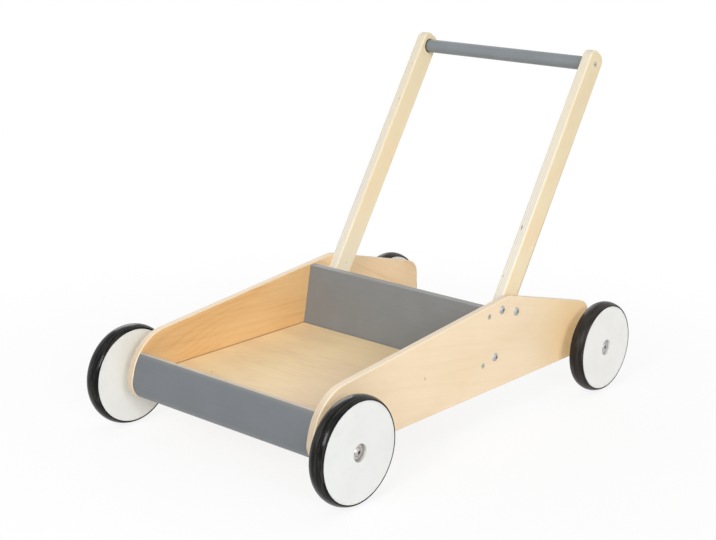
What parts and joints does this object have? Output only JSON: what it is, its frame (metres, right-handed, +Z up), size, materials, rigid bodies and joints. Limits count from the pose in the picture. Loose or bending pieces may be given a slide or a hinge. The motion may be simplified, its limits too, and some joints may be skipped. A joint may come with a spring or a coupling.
{
  "type": "baby push walker",
  "caption": "Wooden push walker: an open tray between plywood sides on rubber-tyred wheels, with leaning posts that carry a round push bar.",
  "frame": {"origin": "on the ground, under the middle of the walker's length and width", "axes": "-Y is the way it is pushed, +X is the walking child's left, +Z is up"},
  "size_m": [0.369, 0.5912, 0.425],
  "materials": {
    "birch_ply": "clear satin lacquer",
    "tray_wood": "clear satin lacquer",
    "grey_paint": "satin slate grey paint",
    "white_paint": "satin white paint",
    "rubber": "semi-gloss black rubber",
    "zinc": "bright zinc plate",
    "axle_steel": "drawn steel",
    "nylon": "natural nylon"
  },
  "bodies": {
    "frame": {"left_side_panel": "birch_ply", "right_side_panel": "birch_ply", "tray_floor": "tray_wood", "back_panel": "grey_paint", "front_bar": "grey_paint", "left_handle_post": "birch_ply", "right_handle_post": "birch_ply", "handle_bar": "grey_paint", "handle_bar_screws": "zinc", "handle_bolts": "zinc", "parked_bolts": "zinc", "threaded_inserts": "zinc", "back_panel_screws": "zinc", "front_bar_screws": "zinc", "front_axle": "axle_steel", "rear_axle": "axle_steel", "axle_spacers": "nylon", "axle_washers": "zinc", "axle_end_screws": "zinc"},
    "front_left_wheel": {"front_left_disc": "white_paint", "front_left_tyre": "rubber", "front_left_bush": "nylon"},
    "front_right_wheel": {"front_right_disc": "white_paint", "front_right_tyre": "rubber", "front_right_bush": "nylon"},
    "rear_left_wheel": {"rear_left_disc": "white_paint", "rear_left_tyre": "rubber", "rear_left_bush": "nylon"},
    "rear_right_wheel": {"rear_right_disc": "white_paint", "rear_right_tyre": "rubber", "rear_right_bush": "nylon"}
  },
  "joints": [
    {"name": "front_left_spin", "type": "hinge", "parent": "frame", "child": "front_left_wheel", "pos_m": [0.17475, -0.23563, 0.06], "axis": [1, 0, 0], "continuous": true},
    {"name": "front_right_spin", "type": "hinge", "parent": "frame", "child": "front_right_wheel", "pos_m": [-0.17475, -0.23563, 0.06], "axis": [1, 0, 0], "continuous": true},
    {"name": "rear_left_spin", "type": "hinge", "parent": "frame", "child": "rear_left_wheel", "pos_m": [0.17475, 0.23838, 0.05725], "axis": [1, 0, 0], "continuous": true},
    {"name": "rear_right_spin", "type": "hinge", "parent": "frame", "child": "rear_right_wheel", "pos_m": [-0.17475, 0.23838, 0.05725], "axis": [1, 0, 0], "continuous": true}
  ]
}
